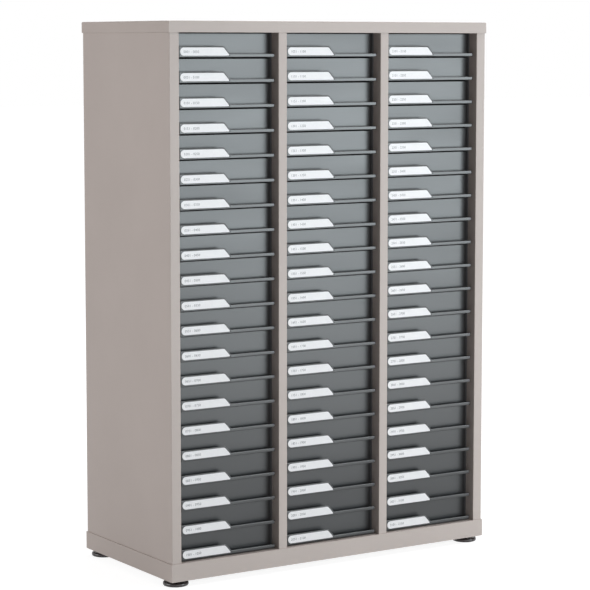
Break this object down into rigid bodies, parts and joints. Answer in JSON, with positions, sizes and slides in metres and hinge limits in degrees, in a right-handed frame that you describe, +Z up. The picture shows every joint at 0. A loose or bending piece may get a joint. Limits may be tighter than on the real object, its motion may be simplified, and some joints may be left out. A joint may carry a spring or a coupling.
{
  "type": "multi-drawer cabinet",
  "caption": "Tall free-standing steel cabinet with columns of shallow moulded drawers, each with a label tab and a finger lip, on levelling feet.",
  "frame": {"origin": "centre of the footprint, on the floor", "axes": "+Z up, -Y is the front, which the drawers open towards, +X to the right seen from the front"},
  "size_m": [0.777, 0.364, 1.123],
  "materials": {
    "taupe_powder_coat": "smooth satin powder coat, warm grey",
    "drawer_plastic": "glossy moulded polystyrene, dark grey",
    "rack_plastic": "dark moulded plastic",
    "plated_steel": "zinc plated",
    "foot_plastic": "dark brown moulded plastic"
  },
  "bodies": {
    "carcass": {"top_cap": "taupe_powder_coat", "base_plinth": "taupe_powder_coat", "left_side_panel": "taupe_powder_coat", "right_side_panel": "taupe_powder_coat", "column_dividers": "taupe_powder_coat", "back_panel": "taupe_powder_coat", "runner_racks": "rack_plastic", "foot_nuts": "plated_steel"},
    "foot_front_left": {"foot_front_left": "foot_plastic"},
    "foot_front_right": {"foot_front_right": "foot_plastic"},
    "foot_rear_left": {"foot_rear_left": "foot_plastic"},
    "foot_rear_right": {"foot_rear_right": "foot_plastic"},
    "drawer_c1_r01": {"drawer_c1_r01": "drawer_plastic"},
    "drawer_c1_r02": {"drawer_c1_r02": "drawer_plastic"},
    "drawer_c1_r03": {"drawer_c1_r03": "drawer_plastic"},
    "drawer_c1_r04": {"drawer_c1_r04": "drawer_plastic"},
    "drawer_c1_r05": {"drawer_c1_r05": "drawer_plastic"},
    "drawer_c1_r06": {"drawer_c1_r06": "drawer_plastic"},
    "drawer_c1_r07": {"drawer_c1_r07": "drawer_plastic"},
    "drawer_c1_r08": {"drawer_c1_r08": "drawer_plastic"},
    "drawer_c1_r09": {"drawer_c1_r09": "drawer_plastic"},
    "drawer_c1_r10": {"drawer_c1_r10": "drawer_plastic"},
    "drawer_c1_r11": {"drawer_c1_r11": "drawer_plastic"},
    "drawer_c1_r12": {"drawer_c1_r12": "drawer_plastic"},
    "drawer_c1_r13": {"drawer_c1_r13": "drawer_plastic"},
    "drawer_c1_r14": {"drawer_c1_r14": "drawer_plastic"},
    "drawer_c1_r15": {"drawer_c1_r15": "drawer_plastic"},
    "drawers_c1_r16_to_r21": {"drawers_c1_r16_to_r21": "drawer_plastic"},
    "drawer_c2_r01": {"drawer_c2_r01": "drawer_plastic"},
    "drawer_c2_r02": {"drawer_c2_r02": "drawer_plastic"},
    "drawer_c2_r03": {"drawer_c2_r03": "drawer_plastic"},
    "drawer_c2_r04": {"drawer_c2_r04": "drawer_plastic"},
    "drawer_c2_r05": {"drawer_c2_r05": "drawer_plastic"},
    "drawer_c2_r06": {"drawer_c2_r06": "drawer_plastic"},
    "drawer_c2_r07": {"drawer_c2_r07": "drawer_plastic"},
    "drawer_c2_r08": {"drawer_c2_r08": "drawer_plastic"},
    "drawer_c2_r09": {"drawer_c2_r09": "drawer_plastic"},
    "drawer_c2_r10": {"drawer_c2_r10": "drawer_plastic"},
    "drawer_c2_r11": {"drawer_c2_r11": "drawer_plastic"},
    "drawer_c2_r12": {"drawer_c2_r12": "drawer_plastic"},
    "drawer_c2_r13": {"drawer_c2_r13": "drawer_plastic"},
    "drawer_c2_r14": {"drawer_c2_r14": "drawer_plastic"},
    "drawer_c2_r15": {"drawer_c2_r15": "drawer_plastic"},
    "drawers_c2_r16_to_r21": {"drawers_c2_r16_to_r21": "drawer_plastic"},
    "drawer_c3_r01": {"drawer_c3_r01": "drawer_plastic"},
    "drawer_c3_r02": {"drawer_c3_r02": "drawer_plastic"},
    "drawer_c3_r03": {"drawer_c3_r03": "drawer_plastic"},
    "drawer_c3_r04": {"drawer_c3_r04": "drawer_plastic"},
    "drawer_c3_r05": {"drawer_c3_r05": "drawer_plastic"},
    "drawer_c3_r06": {"drawer_c3_r06": "drawer_plastic"},
    "drawer_c3_r07": {"drawer_c3_r07": "drawer_plastic"},
    "drawer_c3_r08": {"drawer_c3_r08": "drawer_plastic"},
    "drawer_c3_r09": {"drawer_c3_r09": "drawer_plastic"},
    "drawer_c3_r10": {"drawer_c3_r10": "drawer_plastic"},
    "drawer_c3_r11": {"drawer_c3_r11": "drawer_plastic"},
    "drawer_c3_r12": {"drawer_c3_r12": "drawer_plastic"},
    "drawer_c3_r13": {"drawer_c3_r13": "drawer_plastic"},
    "drawer_c3_r14": {"drawer_c3_r14": "drawer_plastic"},
    "drawer_c3_r15": {"drawer_c3_r15": "drawer_plastic"},
    "drawers_c3_r16_to_r21": {"drawers_c3_r16_to_r21": "drawer_plastic"}
  },
  "joints": [
    {"name": "foot_front_left_turn", "type": "hinge", "parent": "carcass", "child": "foot_front_left", "pos_m": [-0.3625, -0.152, 0.02], "axis": [0, 0, 1], "continuous": true},
    {"name": "foot_front_right_turn", "type": "hinge", "parent": "carcass", "child": "foot_front_right", "pos_m": [0.3625, -0.152, 0.02], "axis": [0, 0, 1], "continuous": true},
    {"name": "foot_rear_left_turn", "type": "hinge", "parent": "carcass", "child": "foot_rear_left", "pos_m": [-0.3625, 0.152, 0.02], "axis": [0, 0, 1], "continuous": true},
    {"name": "foot_rear_right_turn", "type": "hinge", "parent": "carcass", "child": "foot_rear_right", "pos_m": [0.3625, 0.152, 0.02], "axis": [0, 0, 1], "continuous": true},
    {"name": "drawer_c1_r01_slide", "type": "slide", "parent": "carcass", "child": "drawer_c1_r01", "axis": [0, -1, 0], "range_m": [0, 0.24]},
    {"name": "drawer_c1_r02_slide", "type": "slide", "parent": "carcass", "child": "drawer_c1_r02", "axis": [0, -1, 0], "range_m": [0, 0.24]},
    {"name": "drawer_c1_r03_slide", "type": "slide", "parent": "carcass", "child": "drawer_c1_r03", "axis": [0, -1, 0], "range_m": [0, 0.24]},
    {"name": "drawer_c1_r04_slide", "type": "slide", "parent": "carcass", "child": "drawer_c1_r04", "axis": [0, -1, 0], "range_m": [0, 0.24]},
    {"name": "drawer_c1_r05_slide", "type": "slide", "parent": "carcass", "child": "drawer_c1_r05", "axis": [0, -1, 0], "range_m": [0, 0.24]},
    {"name": "drawer_c1_r06_slide", "type": "slide", "parent": "carcass", "child": "drawer_c1_r06", "axis": [0, -1, 0], "range_m": [0, 0.24]},
    {"name": "drawer_c1_r07_slide", "type": "slide", "parent": "carcass", "child": "drawer_c1_r07", "axis": [0, -1, 0], "range_m": [0, 0.24]},
    {"name": "drawer_c1_r08_slide", "type": "slide", "parent": "carcass", "child": "drawer_c1_r08", "axis": [0, -1, 0], "range_m": [0, 0.24]},
    {"name": "drawer_c1_r09_slide", "type": "slide", "parent": "carcass", "child": "drawer_c1_r09", "axis": [0, -1, 0], "range_m": [0, 0.24]},
    {"name": "drawer_c1_r10_slide", "type": "slide", "parent": "carcass", "child": "drawer_c1_r10", "axis": [0, -1, 0], "range_m": [0, 0.24]},
    {"name": "drawer_c1_r11_slide", "type": "slide", "parent": "carcass", "child": "drawer_c1_r11", "axis": [0, -1, 0], "range_m": [0, 0.24]},
    {"name": "drawer_c1_r12_slide", "type": "slide", "parent": "carcass", "child": "drawer_c1_r12", "axis": [0, -1, 0], "range_m": [0, 0.24]},
    {"name": "drawer_c1_r13_slide", "type": "slide", "parent": "carcass", "child": "drawer_c1_r13", "axis": [0, -1, 0], "range_m": [0, 0.24]},
    {"name": "drawer_c1_r14_slide", "type": "slide", "parent": "carcass", "child": "drawer_c1_r14", "axis": [0, -1, 0], "range_m": [0, 0.24]},
    {"name": "drawer_c1_r15_slide", "type": "slide", "parent": "carcass", "child": "drawer_c1_r15", "axis": [0, -1, 0], "range_m": [0, 0.24]},
    {"name": "drawers_c1_r16_to_r21_slide", "type": "slide", "parent": "carcass", "child": "drawers_c1_r16_to_r21", "axis": [0, -1, 0], "range_m": [0, 0.24]},
    {"name": "drawer_c2_r01_slide", "type": "slide", "parent": "carcass", "child": "drawer_c2_r01", "axis": [0, -1, 0], "range_m": [0, 0.24]},
    {"name": "drawer_c2_r02_slide", "type": "slide", "parent": "carcass", "child": "drawer_c2_r02", "axis": [0, -1, 0], "range_m": [0, 0.24]},
    {"name": "drawer_c2_r03_slide", "type": "slide", "parent": "carcass", "child": "drawer_c2_r03", "axis": [0, -1, 0], "range_m": [0, 0.24]},
    {"name": "drawer_c2_r04_slide", "type": "slide", "parent": "carcass", "child": "drawer_c2_r04", "axis": [0, -1, 0], "range_m": [0, 0.24]},
    {"name": "drawer_c2_r05_slide", "type": "slide", "parent": "carcass", "child": "drawer_c2_r05", "axis": [0, -1, 0], "range_m": [0, 0.24]},
    {"name": "drawer_c2_r06_slide", "type": "slide", "parent": "carcass", "child": "drawer_c2_r06", "axis": [0, -1, 0], "range_m": [0, 0.24]},
    {"name": "drawer_c2_r07_slide", "type": "slide", "parent": "carcass", "child": "drawer_c2_r07", "axis": [0, -1, 0], "range_m": [0, 0.24]},
    {"name": "drawer_c2_r08_slide", "type": "slide", "parent": "carcass", "child": "drawer_c2_r08", "axis": [0, -1, 0], "range_m": [0, 0.24]},
    {"name": "drawer_c2_r09_slide", "type": "slide", "parent": "carcass", "child": "drawer_c2_r09", "axis": [0, -1, 0], "range_m": [0, 0.24]},
    {"name": "drawer_c2_r10_slide", "type": "slide", "parent": "carcass", "child": "drawer_c2_r10", "axis": [0, -1, 0], "range_m": [0, 0.24]},
    {"name": "drawer_c2_r11_slide", "type": "slide", "parent": "carcass", "child": "drawer_c2_r11", "axis": [0, -1, 0], "range_m": [0, 0.24]},
    {"name": "drawer_c2_r12_slide", "type": "slide", "parent": "carcass", "child": "drawer_c2_r12", "axis": [0, -1, 0], "range_m": [0, 0.24]},
    {"name": "drawer_c2_r13_slide", "type": "slide", "parent": "carcass", "child": "drawer_c2_r13", "axis": [0, -1, 0], "range_m": [0, 0.24]},
    {"name": "drawer_c2_r14_slide", "type": "slide", "parent": "carcass", "child": "drawer_c2_r14", "axis": [0, -1, 0], "range_m": [0, 0.24]},
    {"name": "drawer_c2_r15_slide", "type": "slide", "parent": "carcass", "child": "drawer_c2_r15", "axis": [0, -1, 0], "range_m": [0, 0.24]},
    {"name": "drawers_c2_r16_to_r21_slide", "type": "slide", "parent": "carcass", "child": "drawers_c2_r16_to_r21", "axis": [0, -1, 0], "range_m": [0, 0.24]},
    {"name": "drawer_c3_r01_slide", "type": "slide", "parent": "carcass", "child": "drawer_c3_r01", "axis": [0, -1, 0], "range_m": [0, 0.24]},
    {"name": "drawer_c3_r02_slide", "type": "slide", "parent": "carcass", "child": "drawer_c3_r02", "axis": [0, -1, 0], "range_m": [0, 0.24]},
    {"name": "drawer_c3_r03_slide", "type": "slide", "parent": "carcass", "child": "drawer_c3_r03", "axis": [0, -1, 0], "range_m": [0, 0.24]},
    {"name": "drawer_c3_r04_slide", "type": "slide", "parent": "carcass", "child": "drawer_c3_r04", "axis": [0, -1, 0], "range_m": [0, 0.24]},
    {"name": "drawer_c3_r05_slide", "type": "slide", "parent": "carcass", "child": "drawer_c3_r05", "axis": [0, -1, 0], "range_m": [0, 0.24]},
    {"name": "drawer_c3_r06_slide", "type": "slide", "parent": "carcass", "child": "drawer_c3_r06", "axis": [0, -1, 0], "range_m": [0, 0.24]},
    {"name": "drawer_c3_r07_slide", "type": "slide", "parent": "carcass", "child": "drawer_c3_r07", "axis": [0, -1, 0], "range_m": [0, 0.24]},
    {"name": "drawer_c3_r08_slide", "type": "slide", "parent": "carcass", "child": "drawer_c3_r08", "axis": [0, -1, 0], "range_m": [0, 0.24]},
    {"name": "drawer_c3_r09_slide", "type": "slide", "parent": "carcass", "child": "drawer_c3_r09", "axis": [0, -1, 0], "range_m": [0, 0.24]},
    {"name": "drawer_c3_r10_slide", "type": "slide", "parent": "carcass", "child": "drawer_c3_r10", "axis": [0, -1, 0], "range_m": [0, 0.24]},
    {"name": "drawer_c3_r11_slide", "type": "slide", "parent": "carcass", "child": "drawer_c3_r11", "axis": [0, -1, 0], "range_m": [0, 0.24]},
    {"name": "drawer_c3_r12_slide", "type": "slide", "parent": "carcass", "child": "drawer_c3_r12", "axis": [0, -1, 0], "range_m": [0, 0.24]},
    {"name": "drawer_c3_r13_slide", "type": "slide", "parent": "carcass", "child": "drawer_c3_r13", "axis": [0, -1, 0], "range_m": [0, 0.24]},
    {"name": "drawer_c3_r14_slide", "type": "slide", "parent": "carcass", "child": "drawer_c3_r14", "axis": [0, -1, 0], "range_m": [0, 0.24]},
    {"name": "drawer_c3_r15_slide", "type": "slide", "parent": "carcass", "child": "drawer_c3_r15", "axis": [0, -1, 0], "range_m": [0, 0.24]},
    {"name": "drawers_c3_r16_to_r21_slide", "type": "slide", "parent": "carcass", "child": "drawers_c3_r16_to_r21", "axis": [0, -1, 0], "range_m": [0, 0.24]}
  ]
}
